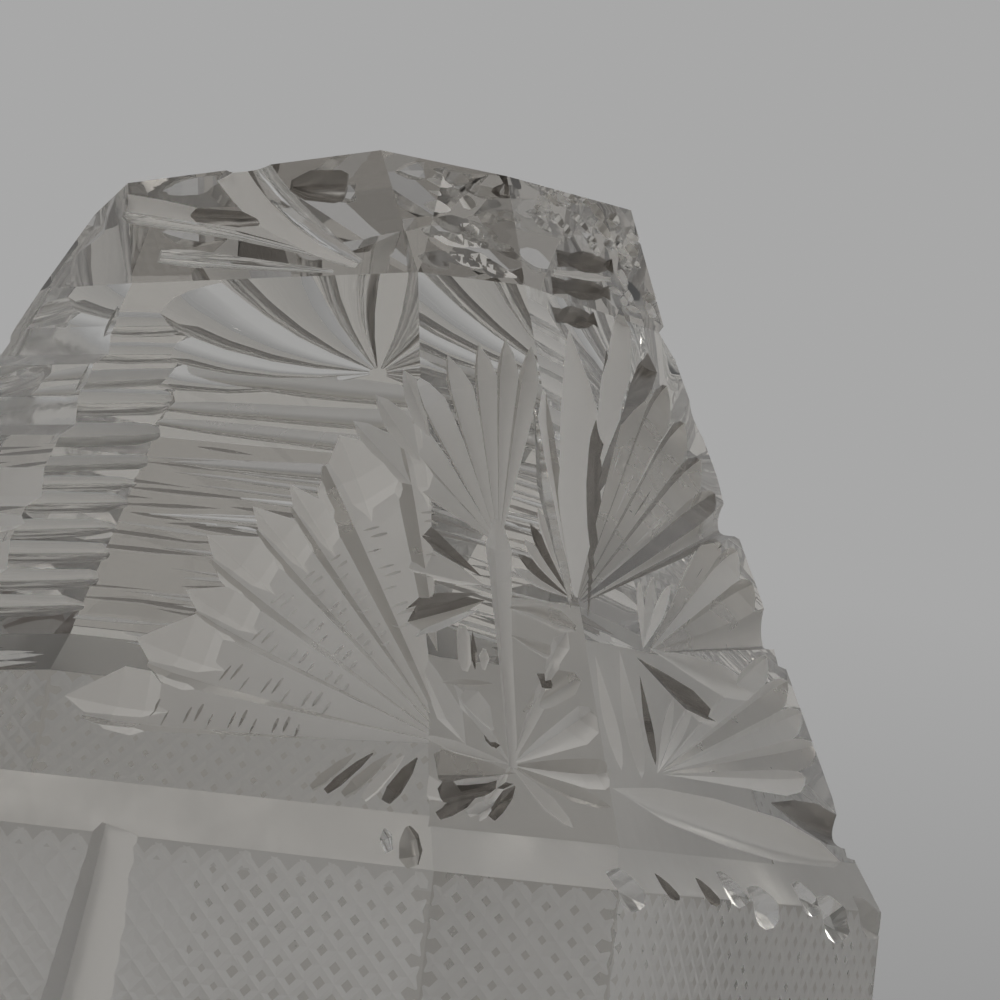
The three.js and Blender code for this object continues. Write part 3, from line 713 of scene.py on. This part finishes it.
    # three long curved cuts across the crown's front facet, from its right end
    fl, wp, wq, tall = cap_flat(6)
    cuts.append(scoop(fl, (4.8, 0.6), (-2.9, 6.9), [(0, 0.3, 0.3, 0.12, 0.0), (0.15, 0.6, 0.6, 0.3, 0.35), (0.3, 0.95, 0.95, 0.45, 0.6), (0.5, 1.2, 1.15, 0.6, 0.7), (0.7, 1.4, 1.3, 0.7, 0.6), (0.85, 1.5, 1.35, 0.75, 0.35), (1, 1.6, 1.4, 0.8, 0.0)], slot=CUT, left=FROST, over=0.1))
    cuts.append(scoop(fl, (4.4, 0.45), (-9.3, 4.3), [(0, 0.1, 0.1, 0.06, 0.0), (0.15, 0.25, 0.25, 0.15, -0.25), (0.3, 0.45, 0.4, 0.25, -0.4), (0.5, 0.6, 0.55, 0.32, -0.45), (0.7, 0.75, 0.7, 0.4, -0.35), (0.85, 0.8, 0.8, 0.45, -0.2), (1, 0.75, 0.85, 0.5, 0.0)], slot=CUT, right=FROST, over=0.1))
    cuts.append(scoop(fl, (3.4, 0.2), (-6.8, 1.5), [(0, 0.1, 0.1, 0.06), (0.4, 0.3, 0.3, 0.18), (0.8, 0.5, 0.5, 0.25), (1, 0.4, 0.4, 0.3)], slot=CUT, over=0.1))
    # two dark patches on the front facet, painted as shade
    cuts.append(scoop(fl, (-0.2, 3.3), (-6.6, 3.9), [(0, 0.05, 0.05, 0.03), (0.35, 0.9, 0.35, 0.4), (0.75, 0.8, 0.4, 0.45), (1, 0.05, 0.05, 0.03)], slot=DARK_SHADE, over=0.05))
    cuts.append(scoop(fl, (0.4, 5.2), (3.6, 4.9), [(0, 0.3, 0.3, 0.3), (0.3, 0.9, 0.8, 0.5), (0.85, 1.0, 0.9, 0.5), (1, 0.8, 0.7, 0.4)], slot=DARK_SHADE, over=0.05))
    # three short steep cuts one over the other, where the crown meets the right-hand flat, painted dark as shade, with
    # a frosted one
    fl, wp, wq, tall = cap_flat(0)
    for p, q, w in (((-5.62, 2.14), (2.78, 2.87), 1.2), ((-6.62, 0.53), (2.02, 1.25), 1.2)):
        cuts.append(leaf(fl, p, q, w, k=0.8, peak=0.5, foot=0.8, slot=DARK_SHADE, over=0.15, end=0.7))
    cuts.append(leaf(S, (-5.4, 29.6), (1.2, 30.3), 1.3, k=0.8, peak=0.5, foot=0.7, slot=DARK_SHADE, over=0.1, end=0.7))
    cuts.append(leaf(fl, (-6.2, 1.3), (2.3, 2.05), 0.5, k=0.9, peak=0.5, foot=0.6, slot=FROST, over=0.1, end=0.5))

    # hatched band below the ridge
    for q in range(4):
        g = Flat((0, -27.2, 0), (0, -1, 0), (1, 0, 0)).turned(q)
        depth = 0.043 if q < 2 else 0.049
        # the flats left between the grooves keep the band's painted-shade tint
        cuts += hatch(g, [(-20.1 if q else 10.0, 227.0), (20.1, 227.0), (20.1, 238.8), (-20.1 if q else 10.0, 238.8)], 1.12, depth, 8.0, (46, 134), slot=SATIN, over=0.01, jitter=0.3 if q < 2 else 0.2)
        h = Flat(((27.2 + 20.3) / SQ / SQ, -(27.2 + 20.3) / SQ / SQ, 0), (1, -1, 0), (1, 1, 0)).turned(q)
        hw = (2 * 27.2 - 40.6) / SQ / 2 - 0.1
        cuts += hatch(h, [(-hw, 227.0), (hw, 227.0), (hw, 238.8), (-hw, 238.8)], 1.12, 0.046, 8.0, (46, 134), slot=SATIN, over=0.01, jitter=0.2)
        under = Flat((0, -20.5, 222.0), (0, -1, -(26.3 - 20.5) / 4.0), (1, 0, 0)).turned(q)
        for i in range(-2, 3):
            cuts.append(leaf(under, (i * 4.0, -6.5), (i * 6.2, 5.6), 3.2, k=2.4, peak=0.75, slot=CUT))
    # a broad mitre at the left of the front band
    G = Flat((0, -27.2, 0), (0, -1, 0), (1, 0, 0))
    cuts.append(blade(G, (2.1, 239.4), (-0.3, 227.2), [(0, 2.2, 0.3, 0.5), (0.3, 2.8, 0.4, 0.9), (1, 3.9, 0.5, 1.4)], slot=FROST, right=SATIN, over=0.1))
    # a strip under the bevel in satin with a painted-shade tint, and the left of the front band in plain satin
    cuts.append(pad(G, -21.0, 237.9, 21.0, 239.3, 0.012, slot=SATIN_SHADE))
    cuts.append(pad(G, -21.0, 226.5, 7.6, 239.0, 0.012, slot=SATIN))
    cuts += hatch(G, [(-20.1, 227.0), (10.6, 227.0), (10.6, 238.8), (-20.1, 238.8)], 1.12, 0.05, 8.0, (46, 134), slot=SATIN, over=0.01, jitter=0.2)
    # streaks along the bevel over the back band, a third of them painted dark as shade
    low, high = Vector((0, 27.2, 238.9)), (ridge[1 + 1] + ridge[3]) / 2
    over_band = Flat((0, 27.2, 238.9), (0, (high.z - low.z), (27.2 - high.y)), (-1, 0, 0))
    for i in range(26):
        u0, v0, size = -19.0 + 30.0 * dice.random(), 0.4 + (high.z - low.z) * dice.random(), 3.0 + 8.0 * dice.random()
        cuts.append(leaf(over_band, (u0, v0), (min(19.5, u0 + size), v0 + 0.6 * (dice.random() - 0.5)), 0.3 + 0.5 * dice.random(), k=1.0, peak=0.5, slot=(CUT, DARK_SHADE, SATIN)[i % 3]))
    # a small deep cut on the front band's upper edge, painted dark as shade, with a bright one beside it
    cuts.append(scoop(G, (18.2, 240.9), (19.2, 239.0), [(0, 0.5, 0.5, 1.2), (0.3, 0.7, 0.7, 1.6), (0.7, 0.7, 0.7, 1.3), (1, 0.3, 0.3, 0.5)], slot=SHADE, left=DARK_SHADE, over=0.3))
    cuts.append(scoop(G, (17.0, 240.7), (17.7, 239.6), [(0, 0.3, 0.3, 1.0), (0.4, 0.5, 0.5, 1.3), (1, 0.3, 0.3, 0.7)], slot=CUT, over=0.3))
    # streaks on the side bevels, a third of them painted dark as shade
    rim = ring_of(27.2, 40.6, 238.9)
    for k in (1, 3):
        side_bevel = flat_of(rim[k], rim[k + 1], (ridge[k] + ridge[k + 1]) / 2)
        reach = (rim[k + 1] - rim[k]).length / 2
        for i in range(12):
            u0, v0, size = -reach + reach * dice.random(), 0.3 + 2.4 * dice.random(), 3.0 + 5.0 * dice.random()
            cuts.append(leaf(side_bevel, (u0, v0), (min(reach, u0 + size), v0 + 0.5 * (dice.random() - 0.5)), 0.3 + 0.5 * dice.random(), k=1.0, peak=0.5, slot=(CUT, SATIN, DARK_SHADE)[i % 3]))
    # short bright cuts along the upper edge of the right-hand band, with two slashes painted dark as shade
    GS = Flat((27.2, 0, 0), (1, 0, 0), (0, 1, 0))
    for p, q, w, c in (((-21.6, 240.4), (-16.4, 238.3), 2.5, CUT), ((-15.7, 240.6), (-11.8, 238.7), 1.3, DARK_SHADE), ((-9.8, 240.5), (-5.9, 238.6), 1.4, DARK_SHADE), ((-6.2, 240.7), (-1.4, 239.0), 2.4, CUT), ((-1.8, 239.8), (3.4, 238.0), 2.6, CUT), ((5.4, 240.4), (10.4, 238.9), 2.4, CUT), ((9.4, 239.6), (15.0, 237.5), 2.8, CUT), ((15.6, 240.0), (20.4, 237.6), 2.4, SATIN)):
        cuts.append(leaf(GS, p, q, w, k=1.0, peak=0.5, slot=c, over=0.9, end=0.05))

    return carve(base, cuts, union=[plug])


def finish_mesh(ob, smooth_slots=(INSIDE, GROUND)):
    """Millimetres to metres. Turned faces and round cuts are smooth, with sharp borders."""
    bm = bmesh.new()
    bm.from_mesh(ob.data)
    for v in bm.verts:
        v.co = v.co * MM
    for f in bm.faces:
        f.smooth = f.smooth or f.material_index in smooth_slots
    for e in bm.edges:
        if len(e.link_faces) == 2:
            f, g = e.link_faces
            e.smooth = f.smooth and g.smooth and e.calc_face_angle(3.0) < 0.5
    bm.to_mesh(ob.data)
    bm.free()


stopper = build_stopper()
finish_mesh(stopper)
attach(stopper, "stopper_body")
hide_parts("stopper")
print("stopper faces", len(stopper.data.polygons), "smooth", sum(p.use_smooth for p in stopper.data.polygons), "tris", sum(len(p.vertices) - 2 for p in stopper.data.polygons))


# ---------------------------------------------------------------- bottle
def build_bottle():
    rings = [
        ring_of(42.0, 61.0, 0.0),
        ring_of(45.0, 66.0, 5.0),
        ring_of(45.0, 66.0, 150.0),
        ring_of(42.0, 61.0, 153.5),
        ring_of(30.5, 38.0, 164.0),
        octagon(21.5, 171.5),
        octagon(18.3, 176.0),
        octagon(17.5, 180.0),
        octagon(17.5, 207.0),
    ]
    v, f, s = stack(rings)
    base = mesh_object("bottle_cut", v, f, s)
    n = 96
    lip = [round_ring(15.5, 203.5, n, 0), round_ring(19.0, 204.0, n, 0)]
    for i in range(13):
        t = -math.pi / 2 + i / 12 * math.pi
        lip.append(round_ring(19.6 + 3.4 * math.cos(t), 209.0 + 5.0 * math.sin(t), n, 0))
    lip.append(round_ring(15.0, 214.0, n, 0))
    v, f, s = stack(lip, [INSIDE] * (len(lip)))
    rim = mesh_object("rim", v, f, s)

    def soft(s_, w, z, n=96):
        """Rounded-corner square section for the blown inside."""
        out = []
        c = (s_ + w / 2) / SQ
        for i in range(n):
            a = 2 * math.pi * i / n
            best = 0.0
            for j in range(8):
                b = j * math.pi / 4
                dist = s_ if j % 2 == 0 else c
                best += max(0.0, math.cos(a - b) / dist) ** 14
            r = best ** (-1 / 14)
            out.append(Vector((r * math.cos(a), r * math.sin(a), z)))
        return out

    def seat(z):
        return 11.2 + (z - 184.0) / (213.5 - 184.0) * 2.1

    hollow = [
        soft(29.0, 38.0, 16.1),
        soft(33.0, 46.0, 17.2),
        soft(35.2, 50.5, 19.5),
        soft(36.0, 52.0, 23.0),
        soft(36.0, 52.0, 140.5),
        soft(35.6, 51.0, 144.0),
        soft(33.5, 47.0, 147.5),
        soft(29.0, 37.0, 152.2),
        soft(23.5, 24.0, 157.6),
        round_ring(17.2, 163.0, n, 0),
        round_ring(13.2, 168.0, n, 0),
        round_ring(11.4, 171.6, n, 0),
        round_ring(11.0, 175.0, n, 0),
        round_ring(11.0, 183.0, n, 0),
        round_ring(seat(184.0), 184.0, n, 0),
        round_ring(seat(213.4), 213.4, n, 0),
        round_ring(seat(213.4) + 0.6, 214.01, n, 0),
        round_ring(seat(213.4) + 0.8, 216.0, n, 0),
    ]
    v, f, s = stack(hollow, [INSIDE] * 14 + [GROUND] + [INSIDE] * 3)
    cavity = mesh_object("cavity", v, f, s)

    cuts = [cavity]
    for q in range(4):
        P = Flat((0, -45.0, 0), (0, -1, 0), (1, 0, 0)).turned(q)
        # lattice band round the foot
        cuts += hatch(P, [(-29.5, 12.0), (29.5, 12.0), (29.5, 50.0), (-29.5, 50.0)], 4.0, 1.1, 1.0, (45, 135), slot=CUT, over=0.05, jitter=0.08)
        # bands above and below the lattice, tinted as painted shade
        cuts.append(through(P, (-40, 9.0), (40, 9.0), 2.2, k=1.1, over=0.3, slot=SHADE))
        cuts.append(through(P, (-40, 54.0), (40, 54.0), 2.6, k=1.1, over=0.3, slot=SHADE))
        # tall middle fan and a fan in from each side, their ribs tinted as painted shade
        cuts += fan(P, (0, 57.0), 148.0, 32.0, 11, 46.0, tips=[0.86, 0.9, 0.96, 1.0, 1.05, 1.08, 1.05, 1.0, 0.96, 0.9, 0.86], k=4.2, start=0.04, nicks=(0.45, 0.8, 1.5, 0.3), ribs=0.5, slot=SATIN, rib_slot=SHADE)
        for side in (-1, 1):
            first, last = (96.0, 20.0) if side < 0 else (84.0, 160.0)
            cuts += fan(P, (side * 31.0, 100.0), first, last, 6, 30.0, tips=[1.2, 1.1, 1.0, 0.94, 0.92, 0.9], k=4.2, ribs=0.4, slot=SATIN, rib_slot=SHADE)
        cuts.append(leaf(P, (0, 109.0), (0, 143.0), 6.0, k=2.4, peak=0.5, slot=SATIN))
        for side in (-1, 1):
            cuts.append(leaf(P, (side * 1.5, 112.0), (side * 8.5, 140.0), 3.6, k=2.2, peak=0.6, slot=SATIN))
        # a band under the shoulder, tinted as painted shade
        cuts.append(through(P, (-40, 147.0), (40, 147.0), 2.2, k=1.1, over=0.3, slot=SHADE))
        # notched corners
        e = (45.0 + 33.0) / SQ
        K = Flat((e / SQ, -e / SQ, 0), (1, -1, 0), (1, 1, 0)).turned(q)
        z = 14.0
        while z < 145.0:
            cuts.append(through(K, (-12, z), (12, z), 5.4, k=1.5, over=1.5, slot=CUT))
            z += 8.0
        # shoulder leaves
        up = (42.0 - 30.5) / (164.0 - 153.5)
        H = Flat((0, -42.0, 153.5), (0, -1, up), (1, 0, 0)).turned(q)
        for i in range(-3, 4):
            cuts.append(leaf(H, (i * 7.6, 0.8), (i * 3.6, 15.6), 5.2, k=2.6, peak=0.45, slot=SATIN if i % 2 else CUT))
    for i in range(8):
        a = i * math.pi / 4
        T = Flat((17.5 * math.cos(a), 17.5 * math.sin(a), 0), (math.cos(a), math.sin(a), 0), (-math.sin(a), math.cos(a), 0))
        T.v = Vector((0, 0, 1))
        for z in (184.0, 188.5, 193.0, 197.5):
            cuts.append(leaf(T, (-7.6, z), (7.6, z), 3.4, k=1.7, peak=0.5, slot=CUT, over=0.3, end=0.04))
    # star under the base
    B = Flat((0, 0, 0), (0, 0, -1), (1, 0, 0))
    for i in range(24):
        a = i * math.pi / 12
        r0, r1 = 4.0, (37.0 if i % 2 == 0 else 27.0)
        cuts.append(leaf(B, (r0 * math.cos(a), r0 * math.sin(a)), (r1 * math.cos(a), r1 * math.sin(a)), 4.4 if i % 2 == 0 else 3.0, k=2.0, peak=0.6, slot=CUT))
    return carve(base, cuts, union=[rim])


bottle = build_bottle()
finish_mesh(bottle)
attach(bottle, "bottle_body")
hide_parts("bottle")
print("bottle faces", len(bottle.data.polygons), "tris", sum(len(p.vertices) - 2 for p in bottle.data.polygons))

# ---------------------------------------------------------------- studio
scene = bpy.context.scene
world = bpy.data.worlds.new("studio")
scene.world = world
world.use_nodes = True
wn = world.node_tree
bg = wn.nodes["Background"]
tc = wn.nodes.new("ShaderNodeTexCoord")
sep = wn.nodes.new("ShaderNodeSeparateXYZ")
wn.links.new(tc.outputs["Generated"], sep.inputs[0])


def wmath(op, a, b=None, clamp=False):
    n = wn.nodes.new("ShaderNodeMath")
    n.operation = op
    n.use_clamp = clamp
    for i, x in enumerate((a, b)):
        if x is None:
            continue
        if isinstance(x, (int, float)):
            n.inputs[i].default_value = x
        else:
            wn.links.new(x, n.inputs[i])
    return n.outputs[0]


AZ = math.radians(25.46)
toward = (-math.sin(AZ), math.cos(AZ))   # from the front of the object to its back
front = wmath("ADD", wmath("MULTIPLY", sep.outputs[0], toward[0]), wmath("MULTIPLY", sep.outputs[1], toward[1]))
half = wmath("ADD", wmath("MULTIPLY", front, 0.5), 0.5)
ramp = wn.nodes.new("ShaderNodeValToRGB")
cr = ramp.color_ramp
cr.elements[0].position = 0.0
cr.elements[0].color = (0.03, 0.022, 0.018, 1)
cr.elements[1].position = 1.0
cr.elements[1].color = (0.392, 0.392, 0.392, 1)
for at, c in ((0.02, (0.045, 0.032, 0.026)), (0.05, (0.13, 0.122, 0.114)), (0.3, (0.2, 0.195, 0.187)), (0.5, (0.31, 0.306, 0.298)), (0.65, (0.37, 0.37, 0.367)), (0.78, (0.392, 0.392, 0.392))):
    e = cr.elements.new(at)
    e.color = (*c, 1)
wn.links.new(half, ramp.inputs[0])
# brighter overhead, and darker from the horizon down
rise = wn.nodes.new("ShaderNodeValToRGB")
for i, (at, g) in enumerate(((0.0, 0.55), (0.4, 0.55), (0.475, 0.75), (0.528, 1.0), (0.75, 1.0), (0.9, 1.35), (1.0, 1.5))):
    if i < 2:
        e = rise.color_ramp.elements[i]
        e.position = at
    else:
        e = rise.color_ramp.elements.new(at)
    e.color = (g, g, g, 1)
wn.links.new(wmath("ADD", wmath("MULTIPLY", sep.outputs[2], 0.5), 0.5), rise.inputs[0])
mix = wn.nodes.new("ShaderNodeMix")
mix.data_type = "RGBA"
mix.blend_type = "MULTIPLY"
mix.inputs["Factor"].default_value = 1.0
mix.clamp_result = False
wn.links.new(ramp.outputs[0], mix.inputs[6])
wn.links.new(rise.outputs[0], mix.inputs[7])
wn.links.new(mix.outputs[2], bg.inputs[0])

floor_me = bpy.data.meshes.new("floor")
fb = bmesh.new()
bmesh.ops.create_circle(fb, cap_ends=True, cap_tris=False, segments=96, radius=2.2)
fb.to_mesh(floor_me)
fb.free()
floor = bpy.data.objects.new("floor", floor_me)
scene.collection.objects.link(floor)
floor.location.z = -0.0005
fm = bpy.data.materials.new("floor_pale")
fm.use_nodes = True
fbs = fm.node_tree.nodes["Principled BSDF"]
fbs.inputs["Base Color"].default_value = (0.7, 0.69, 0.675, 1)
fbs.inputs["Roughness"].default_value = 0.7
floor_me.materials.append(fm)


def softbox(name, pos, target, size, power, colour=(1, 1, 1)):
    light = bpy.data.lights.new(name, "AREA")
    light.shape = "RECTANGLE"
    light.size, light.size_y = size
    light.energy = power
    light.color = colour
    ob = bpy.data.objects.new(name, light)
    scene.collection.objects.link(ob)
    ob.location = pos
    ob.rotation_euler = (Vector(target) - Vector(pos)).to_track_quat("-Z", "Y").to_euler()
    return ob


softbox("key", (-0.8, -0.7, 1.3), (0, 0, 0.2), (0.4, 0.4), 3.05, (1.0, 0.965, 0.905)).visible_glossy = False
softbox("side", (-0.95, -0.35, 1.3), (0, 0, 0.2), (0.12, 0.12), 0.35, (1.0, 0.965, 0.905))
softbox("rim", (0.95, 0.3, 0.9), (0, 0, 0.22), (0.1, 0.14), 0.8, (1.0, 0.97, 0.92)).visible_transmission = False
for i, at in enumerate(((0.55, -0.95, 1.0), (-0.25, -1.1, 0.95), (1.05, -0.25, 0.75), (0.75, -0.9, 0.3), (-0.7, 0.6, 1.0))):
    softbox("lamp_%d" % i, at, (0, 0, 0.25), (0.035, 0.035), 0.07, (1.0, 0.95, 0.87))

# ---------------------------------------------------------------- camera
D, F_PX, ROLL, PITCH, YAW = 0.26326, 4765.6, math.radians(6.28), math.radians(3.92), math.radians(-1.96)
cam_data = bpy.data.cameras.new("camera")
cam_data.sensor_width = 36.0
cam_data.lens = F_PX * 36.0 / 1000.0
cam_data.clip_start = 0.01
cam = bpy.data.objects.new("camera", cam_data)
scene.collection.objects.link(cam)
pos = Vector((math.sin(AZ) * D, -math.cos(AZ) * D, RIDGE_Z * MM - 0.00023))
fwd = Vector((-math.sin(AZ + YAW), math.cos(AZ + YAW), 0)) * math.cos(PITCH) + Vector((0, 0, math.sin(PITCH)))
right = fwd.cross(Vector((0, 0, 1))).normalized()
up = right.cross(fwd)
cx = right * math.cos(ROLL) + up * math.sin(ROLL)
cy = -right * math.sin(ROLL) + up * math.cos(ROLL)
rot = Matrix((cx, cy, -fwd)).transposed()
cam.matrix_world = Matrix.Translation(pos) @ rot.to_4x4()
scene.camera = cam

scene.view_settings.view_transform = "Standard"
scene.view_settings.look = "None"
scene.cycles.max_bounces = 24
scene.cycles.transmission_bounces = 22
scene.cycles.glossy_bounces = 12
scene.cycles.transparent_max_bounces = 16
scene.cycles.caustics_reflective = False
scene.cycles.caustics_refractive = True
scene.cycles.blur_glossy = 0.0
scene.cycles.sample_clamp_indirect = 6.0
scene.cycles.use_denoising = True
